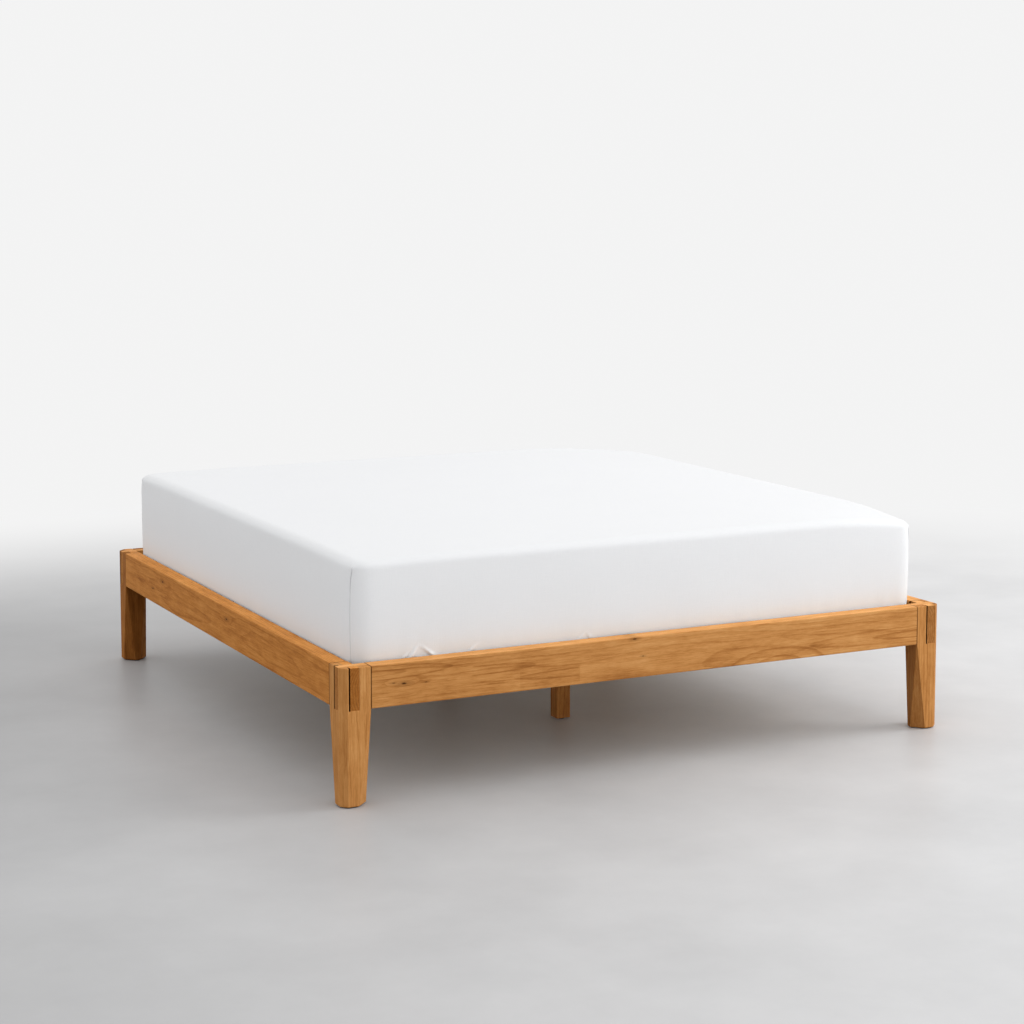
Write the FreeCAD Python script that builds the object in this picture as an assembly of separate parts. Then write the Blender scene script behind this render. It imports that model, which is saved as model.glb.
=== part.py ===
"""King-size platform bed: corner posts, rails that drop into them, a slat deck and a mattress in its sheet.

Millimetres, +Z up. The origin is on the floor under the middle of the bed. +Y points to the head, and -X is
the left as seen from the foot.
"""
import FreeCAD
import Part
import math
import os

V = FreeCAD.Vector

# Mattress in its sheet, a king size, and the room round it inside the rails
mattress_width = 1930.0
mattress_length = 2032.0
mattress_height = 324.0
mattress_gap = 4.0
mattress_recess = 33.0
mattress_corner_radius = 70.0
mattress_corner_least_share = 0.4
edge_tuck = 26.0
edge_rise = 34.0
low_set_in = 2.0
side_swell = 8.0
widest_height_share = 0.55
swell_step_shares = (0.3, 0.65, 1.0)
shoulder_set_in = 5.0
top_round = 40.0
top_crown = 12.0
crown_run = 520.0
crown_step_shares = (0.2, 0.5, 1.0)
round_steps = 6

# Fitted sheet over the mattress
sheet_thickness = 2.0
sheet_gap = 0.3
sheet_hem = 110.0

# Rails
rail_thickness = 54.0
rail_height = 121.0
rail_ease = 2.5

# Corner posts, and the tongues on the rails that drop into them beside a shadow groove
post_width = 90.0
post_height = 398.0
post_ease = 2.0
post_corner_chamfer = 19.0
tongue_thickness = 27.0
groove_width = 4.0
groove_depth = 12.0
tongue_clearance = 0.3
tongue_ease = 1.2
slot_mouth_ease = 1.2
leg_side_cut_share = 0.42
leg_inner_cut_share = 0.31
leg_inner_set_in_share = 0.13
foot_bevel = 2.5

# Felt pads under the posts
pad_thickness = 3.0
pad_inset = 5.0

# Slats, their ledgers, and the straps that keep them apart
slat_count = 16
slat_width = 76.0
slat_thickness = 18.0
slat_end_gap = 4.0
slat_ease = 2.0
ledger_width = 28.0
ledger_height = 42.0
ledger_end_gap = 40.0
ledger_ease = 1.5
strap_width = 30.0
strap_thickness = 1.5
strap_offset = 480.0
strap_end_margin = 12.0
staple_wire = 1.2
staple_width = 12.0
staple_leg = 8.0

# Centre beam on steel hangers, and the two legs under it
beam_width = 44.0
beam_height = 66.0
beam_end_gap = 3.0
beam_ease = 2.0
hanger_wall = 2.5
hanger_seat = 45.0
hanger_ear = 28.0
hanger_clearance = 0.3
hanger_top_gap = 8.0
centre_leg_width = 48.0
centre_leg_place = 429.0
centre_leg_ease = 2.0
stud_diameter = 8.0
stud_in_beam = 30.0
stud_in_leg = 35.0
stud_clearance = 0.15

# Leveller under each centre leg, and the threaded nut that it turns in
leveller_diameter = 28.0
leveller_thickness = 5.0
leveller_bevel = 1.0
leveller_gap = 0.3
leveller_stem_diameter = 8.0
leveller_stem_length = 34.0
leveller_stem_room = 6.0
leveller_stem_clearance = 0.3
leveller_nut_diameter = 12.0
leveller_nut_length = 14.0

# Corner bolts and washers, and the inserts in the tongues that take them
bolt_diameter = 8.0
bolt_head_diameter = 13.0
bolt_head_height = 5.0
bolt_socket_width = 5.0
bolt_socket_depth = 3.0
bolt_clearance = 0.15
bolt_low_height = 20.0
bolt_pitch = 24.0
bolt_tip_gap = 3.0
washer_diameter = 20.0
washer_thickness = 1.6
insert_diameter = 12.0
insert_length = 18.0

# Wood screws in the ledgers and in the hangers
screw_diameter = 5.0
screw_head_diameter = 10.0
screw_clearance = 0.15
screw_point_gap = 14.0
ledger_screw_count = 7
ledger_screw_margin = 90.0
hanger_screw_diameter = 4.5
hanger_screw_head_diameter = 9.0
hanger_screw_head_height = 2.6
hanger_screw_length = 30.0
hanger_screw_margin = 14.0

# One overrun serves every cut
overrun = 10.0

# Places worked out from the sizes above
inner_x = mattress_width / 2 + mattress_gap
inner_y = mattress_length / 2 + mattress_gap
half_x = inner_x + rail_thickness
half_y = inner_y + rail_thickness
rail_bottom = post_height - rail_height
slot_near = rail_thickness - tongue_thickness - groove_width
left_tongue = (slot_near, slot_near + tongue_thickness)
right_tongue = (slot_near + groove_width, rail_thickness)
left_bolt_height = bolt_low_height + bolt_pitch
right_bolt_height = bolt_low_height
leg_side_cut = post_width * leg_side_cut_share
leg_inner_cut = post_width * leg_inner_cut_share
leg_inner_corner = post_width * (1 - leg_inner_set_in_share)
lap_height = rail_bottom + rail_height / 2
slat_top = post_height - mattress_recess
slat_bottom = slat_top - slat_thickness
beam_bottom = slat_bottom - beam_height
beam_end = inner_y - hanger_wall - beam_end_gap
leg_bottom = leveller_thickness + leveller_gap

LEFT, RIGHT, FOOT, HEAD = -1, 1, -1, 1
SIDES = {"left": LEFT, "right": RIGHT}
ENDS = {"foot": FOOT, "head": HEAD}
FOOT_LEFT, FOOT_RIGHT = ("foot", "left"), ("foot", "right")
HEAD_RIGHT, HEAD_LEFT = ("head", "right"), ("head", "left")
ORIGIN = V(0, 0, 0)
X_AXIS = V(1, 0, 0)
Y_AXIS = V(0, 1, 0)
Z_AXIS = V(0, 0, 1)


def box(x0, x1, y0, y1, z0, z1):
    """A box between two corners, in either order along each axis."""
    low = V(min(x0, x1), min(y0, y1), min(z0, z1))
    return Part.makeBox(abs(x1 - x0), abs(y1 - y0), abs(z1 - z0), low)


def rod(start, end, diameter):
    """A round bar from one point to another."""
    run = end - start
    return Part.makeCylinder(diameter / 2, run.Length, start, run)


def polygon(points):
    """A closed wire through a list of points."""
    return Part.makePolygon(list(points) + [points[0]])


def faceted(outlines):
    """A solid with flat faces through a stack of outlines that have the same number of points."""
    faces = [Part.Face(polygon(outlines[0])), Part.Face(polygon(outlines[-1]))]
    for low, high in zip(outlines, outlines[1:]):
        for i in range(len(low)):
            faces.append(Part.Face(polygon([low[i - 1], low[i], high[i], high[i - 1]])))
    solid = Part.makeSolid(Part.makeShell(faces))
    solid.fix(0, 0, 0)
    return solid


def runs_along(edge, axis):
    """Whether a straight edge is parallel to an axis."""
    return abs(edge.Curve.Direction.dot(axis)) > math.sqrt(0.5)


def eased_bar(x, y, z, ease, axis):
    """A bar given by its (low, high) reach on each axis, its edges along one axis eased by small flats."""
    bar = box(x[0], x[1], y[0], y[1], z[0], z[1])
    return bar.makeChamfer(ease, [e for e in bar.Edges if runs_along(e, axis)])


def on_side(shape, way):
    """A shape made for the left or the foot, turned half round the bed for the right or the head."""
    placed = shape.copy()
    if way == RIGHT:
        placed.rotate(ORIGIN, Z_AXIS, 180)
    return placed


def corners():
    """The name of each corner of the bed, its quarter turns from the left foot corner, and its place."""
    for quarter, (end, side) in enumerate((FOOT_LEFT, FOOT_RIGHT, HEAD_RIGHT, HEAD_LEFT)):
        yield f"{end}_{side}", quarter, V(SIDES[side] * half_x, ENDS[end] * half_y, 0)


def in_corner(shape, quarter, place):
    """A shape made for the left foot corner, at the origin, turned and moved to a corner."""
    placed = shape.copy()
    placed.rotate(ORIGIN, Z_AXIS, 90 * quarter)
    placed.translate(place)
    return placed


def in_every_corner(solids):
    """Copies of solids made for the left foot corner, at all four corners."""
    return [in_corner(s, quarter, place) for _, quarter, place in corners() for s in solids]


def block_outline(z):
    """The post's upper part seen from above: a chamfer on its outer corner, the other three corners eased."""
    ease = post_ease
    points = [
        (post_corner_chamfer, 0),
        (post_width - ease, 0),
        (post_width, ease),
        (post_width, post_width - ease),
        (post_width - ease, post_width),
        (ease, post_width),
        (0, post_width - ease),
        (0, post_corner_chamfer),
    ]
    return [V(x, y, z) for x, y in points]


def leg_outline(z, side_cut, inner_cut):
    """The post's leg seen from above: its inner faces slant, and the corners next to them are cut off."""
    slant = (post_width - leg_inner_corner) / leg_inner_corner
    cut_end = side_cut / (1 + slant)
    inner_end = leg_inner_corner - inner_cut
    inner_far = post_width - slant * inner_end
    points = [
        (post_corner_chamfer, 0),
        (post_width - side_cut, 0),
        (post_width - side_cut + cut_end, cut_end),
        (inner_far, inner_end),
        (inner_end, inner_far),
        (cut_end, post_width - side_cut + cut_end),
        (0, post_width - side_cut),
        (0, post_corner_chamfer),
    ]
    return [V(x, y, z) for x, y in points]


def set_in(outline, inset):
    """An outline seen from above with all its sides moved inwards."""
    moved = []
    for i, point in enumerate(outline):
        inward = []
        for side in (point - outline[i - 1], outline[(i + 1) % len(outline)] - point):
            inward.append(V(-side.y, side.x, 0).normalize())
        step = inset / (1 + inward[0].dot(inward[1]))
        moved.append(point + (inward[0] + inward[1]) * step)
    return moved


def slot_mouth():
    """The eased mouth of a tongue's slot and its groove, on the face at Y = 0."""
    low = slot_near - tongue_clearance
    high = rail_thickness + tongue_clearance
    top = post_height + overrun
    outlines = []
    for depth, grow in ((-overrun, overrun + slot_mouth_ease), (slot_mouth_ease, 0)):
        outlines.append([
            V(low - grow, depth, rail_bottom - grow),
            V(high + grow, depth, rail_bottom - grow),
            V(high + grow, depth, top),
            V(low - grow, depth, top),
        ])
    return faceted(outlines)


def swap_xy(shape):
    """The shape mirrored in the upright plane X = Y, which swaps the two outer faces of a corner."""
    return shape.mirror(ORIGIN, V(1, -1, 0))


def bolt_lines():
    """Where the two corner bolts enter the post, which way they point, and how far in the tongue is."""
    across = (rail_thickness + post_width) / 2
    into_side_rail = V(post_width, across, rail_bottom + right_bolt_height)
    into_end_rail = V(across, post_width, rail_bottom + left_bolt_height)
    yield into_side_rail, -X_AXIS, post_width - right_tongue[1]
    yield into_end_rail, -Y_AXIS, post_width - left_tongue[1]


def post():
    """A corner post: a block over a leg whose corners are cut back more and more downwards."""
    block = faceted([
        block_outline(rail_bottom),
        block_outline(post_height - post_ease),
        set_in(block_outline(post_height), post_ease),
    ])
    leg = faceted([
        set_in(leg_outline(pad_thickness, leg_side_cut, leg_inner_cut), foot_bevel),
        leg_outline(pad_thickness + foot_bevel, leg_side_cut, leg_inner_cut),
        leg_outline(rail_bottom, post_ease, post_ease),
    ])
    near = slot_near - tongue_clearance
    far = rail_thickness + tongue_clearance
    side_slot_near = right_tongue[0] - tongue_clearance
    end_slot_far = left_tongue[1] + tongue_clearance
    past = post_width + overrun
    top = post_height + overrun
    cuts = [
        box(side_slot_near, far, -overrun, past, rail_bottom, top),
        box(near, side_slot_near, -overrun, groove_depth, rail_bottom, top),
        box(-overrun, past, near, end_slot_far, rail_bottom, top),
        box(-overrun, groove_depth, end_slot_far, far, rail_bottom, top),
        box(rail_thickness, past, end_slot_far, past, slat_bottom, top),
        slot_mouth(),
        swap_xy(slot_mouth()),
    ]
    hole = bolt_diameter + bolt_clearance + bolt_clearance
    for start, way, depth in bolt_lines():
        cuts.append(rod(start - way * overrun, start + way * (depth + overrun), hole))
    return block.fuse(leg).removeSplitter().cut(cuts)


def felt_pad():
    """A pad of felt on the foot of a post, a little smaller than the foot."""
    foot = set_in(leg_outline(0, leg_side_cut, leg_inner_cut), foot_bevel + pad_inset)
    return Part.Face(polygon(foot)).extrude(Z_AXIS * pad_thickness)


def tongue(half_run, reach, crossing, lapped_below):
    """A tongue on a rail's end at -X, half cut away where the other rail's tongue crosses it."""
    shoulder = half_run - post_width
    bar = box(-half_run, -shoulder, reach[0], reach[1], rail_bottom, post_height)
    end = [e for e in bar.Edges if all(v.X < -half_run + tongue_ease for v in e.Vertexes)]
    bar = bar.makeChamfer(tongue_ease, end)
    lap_near = -half_run + crossing[0] - tongue_clearance
    lap_far = -half_run + crossing[1] + tongue_clearance
    cut_to = rail_bottom - overrun if lapped_below else post_height + overrun
    return bar.cut(box(lap_near, lap_far, reach[0] - overrun, reach[1] + overrun, lap_height, cut_to))


def insert_pocket(half_run, reach, bolt_height):
    """The hole for a threaded insert, in the inner face of the tongue at -X of a rail."""
    across = (rail_thickness + post_width) / 2
    mouth = V(-half_run + across, reach[1], rail_bottom + bolt_height)
    width = insert_diameter + bolt_clearance + bolt_clearance
    return rod(mouth + Y_AXIS * overrun, mouth - Y_AXIS * insert_length, width)


def rail(half_run, lapped_below):
    """A rail along X with its outer face at Y = 0: a bar between the posts, with a tongue on each end."""
    shoulder = half_run - post_width
    height = (rail_bottom, post_height)
    bar = eased_bar((-shoulder, shoulder), (0, rail_thickness), height, rail_ease, X_AXIS)
    left = tongue(half_run, left_tongue, right_tongue, lapped_below)
    left = left.cut(insert_pocket(half_run, left_tongue, left_bolt_height))
    right = tongue(half_run, right_tongue, left_tongue, lapped_below)
    right = right.cut(insert_pocket(half_run, right_tongue, right_bolt_height))
    return bar.fuse([left, right.mirror(ORIGIN, X_AXIS)]).removeSplitter()


def foot_rail():
    """The rail at the foot: its tongues lie over the side rails' tongues."""
    bar = rail(half_x, True)
    bar.translate(V(0, FOOT * half_y, 0))
    return bar.cut(hanger_screws(screw_clearance))


def left_rail():
    """The rail on the left: its tongues lie under the end rails' tongues."""
    bar = rail(half_y, False)
    bar.rotate(ORIGIN, Z_AXIS, -90)
    bar.translate(V(LEFT * half_x, 0, 0))
    return bar.cut([ledger_screw(y, z, screw_clearance) for y, z in ledger_screw_rows()])


def corner_hardware():
    """The bolts, washers and inserts of the left foot corner, with that corner at the origin."""
    bolts, washers, inserts = [], [], []
    hole = bolt_diameter + bolt_clearance + bolt_clearance
    for start, way, depth in bolt_lines():
        face = start - way * washer_thickness
        crown = face - way * bolt_head_height
        tip = start + way * (depth + insert_length - bolt_tip_gap)
        shank = rod(face, tip, bolt_diameter)
        head = rod(crown, face, bolt_head_diameter)
        socket = rod(crown, crown + way * bolt_socket_depth, bolt_socket_width)
        bolts.append(shank.fuse(head).cut(socket).removeSplitter())
        washers.append(rod(start, face, washer_diameter).cut(rod(start, face, hole)))
        mouth = start + way * depth
        bottom = mouth + way * insert_length
        inserts.append(rod(mouth, bottom, insert_diameter).cut(rod(mouth, bottom, hole)))
    return bolts, washers, inserts


def ledger_screw_rows():
    """Heights and places along Y of the screws that hold a ledger to its rail."""
    reach = half_y - post_width - ledger_end_gap - ledger_screw_margin
    step = (reach + reach) / (ledger_screw_count - 1)
    return [(-reach + step * i, slat_bottom - ledger_height / 2) for i in range(ledger_screw_count)]


def ledger_screw(y, z, room):
    """A countersunk screw from the left ledger's inner face into the rail, or the hole for one."""
    face = V(rail_thickness + ledger_width - half_x, y, z)
    point = V(screw_point_gap - half_x, y, z)
    cone = (screw_head_diameter - screw_diameter) / 2
    grow = room + room
    shank = rod(face, point, screw_diameter + grow)
    head = Part.makeCone(screw_head_diameter / 2 + room, screw_diameter / 2 + room, cone, face, -X_AXIS)
    return shank.fuse(head).removeSplitter()


def ledger():
    """The strip on the left rail's inner face that carries the slats' ends."""
    near = rail_thickness - half_x
    reach = half_y - post_width - ledger_end_gap
    height = (slat_bottom - ledger_height, slat_bottom)
    bar = eased_bar((near, near + ledger_width), (-reach, reach), height, ledger_ease, Y_AXIS)
    return bar.cut([ledger_screw(y, z, screw_clearance) for y, z in ledger_screw_rows()])


def slat_places():
    """The middle of each slat along Y."""
    first = -inner_y + slat_end_gap + slat_width / 2
    step = (first + first) / (slat_count - 1)
    return [first - step * i for i in range(slat_count)]


def slat(y):
    """One slat across the bed."""
    reach = inner_x - slat_end_gap
    width = (y - slat_width / 2, y + slat_width / 2)
    return eased_bar((-reach, reach), width, (slat_bottom, slat_top), slat_ease, X_AXIS)


def strap(side):
    """A strap of webbing under the slats."""
    reach = inner_y - slat_end_gap - strap_end_margin
    x = side * strap_offset
    half = strap_width / 2
    return box(x - half, x + half, -reach, reach, slat_bottom - strap_thickness, slat_bottom)


def staple(side, y):
    """A staple through a strap into a slat: a crown under the strap, and two legs."""
    x = side * strap_offset
    half = staple_width / 2
    crown_top = slat_bottom - strap_thickness
    crown_low = crown_top - staple_wire
    leg_top = crown_top + staple_leg
    wire = staple_wire / 2
    parts = [box(x - half, x + half, y - wire, y + wire, crown_low, crown_top)]
    for edge, inward in ((x - half, staple_wire), (x + half, -staple_wire)):
        parts.append(box(edge, edge + inward, y - wire, y + wire, crown_low, leg_top))
    return parts[0].fuse(parts[1:]).removeSplitter()


def beam():
    """The beam under the middle of the slats, from foot to head."""
    width = (-beam_width / 2, beam_width / 2)
    return eased_bar(width, (-beam_end, beam_end), (beam_bottom, slat_bottom), beam_ease, Y_AXIS)


def hanger():
    """The folded steel saddle on the foot rail's inner face that holds the beam's end."""
    inside = beam_width / 2 + hanger_clearance
    outside = inside + hanger_wall
    wide = outside + hanger_ear
    back = -inner_y
    front = back + hanger_wall
    end = front + hanger_seat
    low = beam_bottom - hanger_wall
    top = slat_bottom - hanger_top_gap
    plate = box(-wide, wide, back, front, low, top)
    tray = box(-outside, outside, front, end, low, top)
    inner = box(-inside, inside, front, end + overrun, beam_bottom, top + overrun)
    return plate.fuse(tray.cut(inner)).removeSplitter().cut(hanger_screws(screw_clearance))


def hanger_screw(x, z, room):
    """A pan-head screw through the hanger's ear into the foot rail, or the hole for one."""
    face = V(x, -inner_y + hanger_wall, z)
    grow = room + room
    shank = rod(face, face - Y_AXIS * hanger_screw_length, hanger_screw_diameter + grow)
    if room:
        return shank
    head = rod(face, face + Y_AXIS * hanger_screw_head_height, hanger_screw_head_diameter)
    return shank.fuse(head).removeSplitter()


def hanger_screws(room=0):
    """The four screws of the foot hanger."""
    x = beam_width / 2 + hanger_clearance + hanger_wall + hanger_ear / 2
    low = beam_bottom - hanger_wall + hanger_screw_margin
    high = slat_bottom - hanger_top_gap - hanger_screw_margin
    return [hanger_screw(side * x, z, room) for side in SIDES.values() for z in (low, high)]


def stud(end, room):
    """The double-ended screw that joins a centre leg to the beam, or its hole."""
    joint = V(0, end * centre_leg_place, beam_bottom)
    return rod(joint - Z_AXIS * stud_in_leg, joint + Z_AXIS * stud_in_beam, stud_diameter + room + room)


def leveller_nut(end):
    """The threaded nut in the foot of a centre leg."""
    at = V(0, end * centre_leg_place, leg_bottom)
    top = at + Z_AXIS * leveller_nut_length
    bore = leveller_stem_diameter + leveller_stem_clearance + leveller_stem_clearance
    return rod(at, top, leveller_nut_diameter).cut(rod(at, top, bore))


def leveller(end):
    """A round glide on a threaded stem: turning it sets the height of the centre leg."""
    at = V(0, end * centre_leg_place, 0)
    disc = rod(at, at + Z_AXIS * leveller_thickness, leveller_diameter)
    rims = [e for e in disc.Edges if len(e.Vertexes) == 1]
    stem = rod(at, at + Z_AXIS * (leveller_thickness + leveller_stem_length), leveller_stem_diameter)
    return disc.makeChamfer(leveller_bevel, rims).fuse(stem).removeSplitter()


def centre_leg(end):
    """A square leg under the beam, bored for its stud above and its leveller below."""
    half = centre_leg_width / 2
    y = end * centre_leg_place
    bar = eased_bar((-half, half), (y - half, y + half), (leg_bottom, beam_bottom), centre_leg_ease, Z_AXIS)
    foot = V(0, y, leg_bottom)
    nut_top = foot + Z_AXIS * leveller_nut_length
    pocket = rod(foot - Z_AXIS * overrun, nut_top, leveller_nut_diameter + stud_clearance + stud_clearance)
    stem_top = foot + Z_AXIS * (leveller_stem_length + leveller_stem_room)
    bore = leveller_stem_diameter + leveller_stem_clearance + leveller_stem_clearance
    return bar.cut([pocket, rod(foot, stem_top, bore), stud(end, stud_clearance)])


def rounded_rectangle(inset, z):
    """A level outline of the mattress, set in by some length: four straight sides and four corner arcs."""
    x = mattress_width / 2 - inset
    y = mattress_length / 2 - inset
    least = mattress_corner_radius * mattress_corner_least_share
    r = max(mattress_corner_radius - inset, least)
    mid = r - r * math.sqrt(0.5)
    edges = []
    for sx, sy in ((1, 1), (-1, 1), (-1, -1), (1, -1)):
        on_x = V(sx * x, sy * (y - r), z)
        on_y = V(sx * (x - r), sy * y, z)
        middle = V(sx * (x - mid), sy * (y - mid), z)
        start, end = (on_x, on_y) if sx == sy else (on_y, on_x)
        if edges:
            edges.append(Part.LineSegment(edges[-1].EndPoint, start))
        edges.append(Part.Arc(start, middle, end))
    edges.append(Part.LineSegment(edges[-1].EndPoint, edges[0].StartPoint))
    return Part.Wire([e.toShape() for e in edges])


def mattress_profile():
    """How far the mattress is set in at each height: tucked in below, swollen, rounded over, crowned."""
    top = mattress_height - top_crown
    edge = shoulder_set_in + top_round
    shoulder = top - top_round
    turns = [math.radians(90 * i / (round_steps - 1)) for i in range(round_steps)]
    below = [(low_set_in + edge_tuck * (1 - math.sin(a)), edge_rise * (1 - math.cos(a))) for a in turns]
    widest = mattress_height * widest_height_share
    out, back = low_set_in + side_swell, shoulder_set_in + side_swell
    rise, fall = widest - edge_rise, shoulder - widest
    swell = [(low_set_in - out * s * (2 - s), edge_rise + rise * s) for s in swell_step_shares]
    sink = [(back * s * s - side_swell, widest + fall * s) for s in swell_step_shares[:-1]]
    over = [(edge - top_round * math.cos(a), shoulder + top_round * math.sin(a)) for a in turns]
    crown = [(edge + crown_run * s, top + top_crown * s * (2 - s)) for s in crown_step_shares]
    return below + swell + sink + over + crown


def drawn_in(profile, depth):
    """The profile moved inwards, square to itself, by a depth."""
    moved = []
    last = len(profile) - 1
    for i, (inset, z) in enumerate(profile):
        if i in (0, last):
            normal = (0, 1 if i == 0 else -1)
        else:
            run = profile[i + 1][0] - profile[i - 1][0]
            rise = profile[i + 1][1] - profile[i - 1][1]
            length = math.hypot(run, rise)
            normal = (rise / length, -run / length)
        moved.append((inset + normal[0] * depth, z + normal[1] * depth))
    return moved


def mattress_form(depth):
    """The mattress as one loft through its level outlines, drawn in by a depth, on the slats."""
    wires = [rounded_rectangle(inset, slat_top + z) for inset, z in drawn_in(mattress_profile(), depth)]
    return Part.makeLoft(wires, True, True)


def fitted_sheet():
    """The sheet: a skin over the mattress, open below inside its hem."""
    opening = rounded_rectangle(sheet_hem, slat_top - overrun)
    hole = Part.Face(opening).extrude(Z_AXIS * (overrun + sheet_thickness + sheet_gap))
    return mattress_form(0).cut([mattress_form(sheet_thickness), hole])


def write(name, shape):
    shape.exportStep(f"parts/{name}.step")


def group(name, solids):
    """Writes loose solids of one kind together."""
    write(name, Part.makeCompound(solids))


os.makedirs("parts", exist_ok=True)

# Posts and their pads
for corner, quarter, place in corners():
    write(f"corner_post_{corner}", in_corner(post(), quarter, place))
    write(f"felt_pad_{corner}", in_corner(felt_pad(), quarter, place))

# Rails, ledgers, hangers and what screws them together
for name, side in SIDES.items():
    write(f"side_rail_{name}", on_side(left_rail(), side))
    write(f"slat_ledger_{name}", on_side(ledger(), side))
for name, end in ENDS.items():
    write(f"{name}_rail", on_side(foot_rail(), end))
    write(f"beam_hanger_{name}", on_side(hanger(), end))
left_screws = [ledger_screw(y, z, 0) for y, z in ledger_screw_rows()]
group("ledger_screws", [on_side(s, side) for side in SIDES.values() for s in left_screws])
group("hanger_screws", [on_side(s, end) for end in ENDS.values() for s in hanger_screws()])
bolts, washers, inserts = corner_hardware()
group("corner_bolts", in_every_corner(bolts))
group("corner_washers", in_every_corner(washers))
group("corner_inserts", in_every_corner(inserts))

# Beam, centre legs and levellers
write("centre_beam", beam().cut([stud(end, stud_clearance) for end in ENDS.values()]))
for name, end in ENDS.items():
    write(f"centre_leg_{name}", centre_leg(end))
    write(f"leveller_{name}", leveller(end))
group("centre_leg_studs", [stud(end, 0) for end in ENDS.values()])
group("leveller_nuts", [leveller_nut(end) for end in ENDS.values()])

# Slat deck
staples = {(side, y): staple(side, y) for side in SIDES.values() for y in slat_places()}
for i, y in enumerate(slat_places(), 1):
    write(f"slat_{i:02d}", slat(y).cut([staples[side, y] for side in SIDES.values()]))
for name, side in SIDES.items():
    write(f"slat_strap_{name}", strap(side).cut([staples[side, y] for y in slat_places()]))
group("strap_staples", list(staples.values()))

# Mattress and its sheet
write("mattress", mattress_form(sheet_thickness + sheet_gap))
write("fitted_sheet", fitted_sheet())
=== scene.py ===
import math

import bmesh
import bpy
import numpy as np
from mathutils import Matrix, Vector


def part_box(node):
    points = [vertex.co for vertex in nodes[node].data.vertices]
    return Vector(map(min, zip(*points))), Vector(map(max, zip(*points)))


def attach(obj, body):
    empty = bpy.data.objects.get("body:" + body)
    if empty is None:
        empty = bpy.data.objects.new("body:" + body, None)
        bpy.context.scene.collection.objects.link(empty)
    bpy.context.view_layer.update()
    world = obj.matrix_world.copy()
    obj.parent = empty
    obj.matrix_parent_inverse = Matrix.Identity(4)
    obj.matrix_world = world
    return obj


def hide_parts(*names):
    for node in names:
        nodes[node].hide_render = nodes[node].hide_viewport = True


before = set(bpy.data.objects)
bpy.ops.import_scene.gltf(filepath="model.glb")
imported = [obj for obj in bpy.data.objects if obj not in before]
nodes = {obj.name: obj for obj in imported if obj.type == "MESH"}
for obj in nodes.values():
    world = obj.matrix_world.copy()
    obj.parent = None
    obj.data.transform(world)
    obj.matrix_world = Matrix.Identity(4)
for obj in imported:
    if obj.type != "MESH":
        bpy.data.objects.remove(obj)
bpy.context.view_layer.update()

# Corner posts
# Four blocks of honey-stained hardwood, sawn square, with the outer corner planed off. Below the rails the
# inner faces slant, and the corners beside them are cut back more towards the floor. The tongues' slots are
# sawn from the top, and satin lacquer goes over everything.

honey = [(0.12, (0.20, 0.066, 0.014)), (0.38, (0.40, 0.160, 0.041)),
         (0.56, (0.555, 0.250, 0.074)), (0.86, (0.74, 0.395, 0.148))]


def finish_named(name):
    """An empty material, its node tree and its Principled shader."""
    material = bpy.data.materials.new(name)
    material.use_nodes = True
    tree = material.node_tree
    tree.nodes.clear()
    shader = tree.nodes.new("ShaderNodeBsdfPrincipled")
    output = tree.nodes.new("ShaderNodeOutputMaterial")
    tree.links.new(shader.outputs[0], output.inputs[0])
    return material, tree, shader


def fill(node, feeds):
    """Feeds a node's inputs, each with a number, a colour or another node's output."""
    for key, feed in feeds.items():
        socket = node.inputs[key]
        if isinstance(feed, bpy.types.NodeSocket):
            node.id_data.links.new(feed, socket)
        else:
            socket.default_value = (*feed, 1.0) if socket.type == "RGBA" else feed


def put(tree, kind, feeds, **settings):
    """A new node with its settings made and its inputs fed. A kind without a family is a shader's."""
    node = tree.nodes.new(kind if "Node" in kind else "ShaderNode" + kind)
    for key, value in settings.items():
        setattr(node, key, value)
    fill(node, feeds)
    return node


def join(kind, feeds, **settings):
    """A new node in the tree that its feeds come from."""
    tree = next(feed.id_data for feed in feeds.values() if isinstance(feed, bpy.types.NodeSocket))
    return put(tree, kind, feeds, **settings)


def calc(operation, *values):
    return join("Math", dict(enumerate(values)), operation=operation).outputs[0]


def times(first, *others):
    for other in others:
        first = calc("MULTIPLY", first, other)
    return first


def summed(start, *shares):
    """A start value plus a share of each of several others."""
    for value, share in shares:
        start = calc("MULTIPLY_ADD", value, share, start)
    return start


def span(first, second):
    """How far off a point is, from two distances that are square to each other."""
    return calc("SQRT", calc("ADD", *(calc("POWER", part, 2.0) for part in (first, second))))


def ease(value, start, stop, low=0.0, high=1.0):
    """A smooth step of a value: low before start, high after stop."""
    feeds = {0: value, 1: start, 2: stop, 3: low, 4: high}
    return join("MapRange", feeds, interpolation_type="SMOOTHSTEP").outputs[0]


def fade(value, start, stop, high=1.0):
    return ease(value, start, stop, high, 0.0)


def window(value, start, stop, soft):
    """One between two places and nought outside them, with soft ends."""
    return times(ease(value, start - soft, start + soft), fade(value, stop - soft, stop + soft))


def speckle(vector, seed, detail=3.0, roughness=0.6):
    """Noise round zero, from about -0.4 to 0.4."""
    feeds = {"Vector": vector, "W": seed, "Scale": 1.0, "Detail": detail, "Roughness": roughness}
    noise = join("TexNoise", feeds, noise_dimensions="4D")
    return calc("SUBTRACT", noise.outputs[0], 0.5)


def tint(factor, first, second, blend="MIX"):
    """Two colours mixed, or the second laid on the first, by a factor."""
    feeds = {0: factor, 6: first, 7: second}
    return join("Mix", feeds, data_type="RGBA", blend_type=blend).outputs[2]


def ramp(factor, stops):
    node = join("ValToRGB", {0: factor})
    elements = node.color_ramp.elements
    while len(elements) < len(stops):
        elements.new(0.5)
    for element, (place, colour) in zip(elements, stops):
        element.position = place
        element.color = (*colour, 1.0)
    return node.outputs[0]


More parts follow.
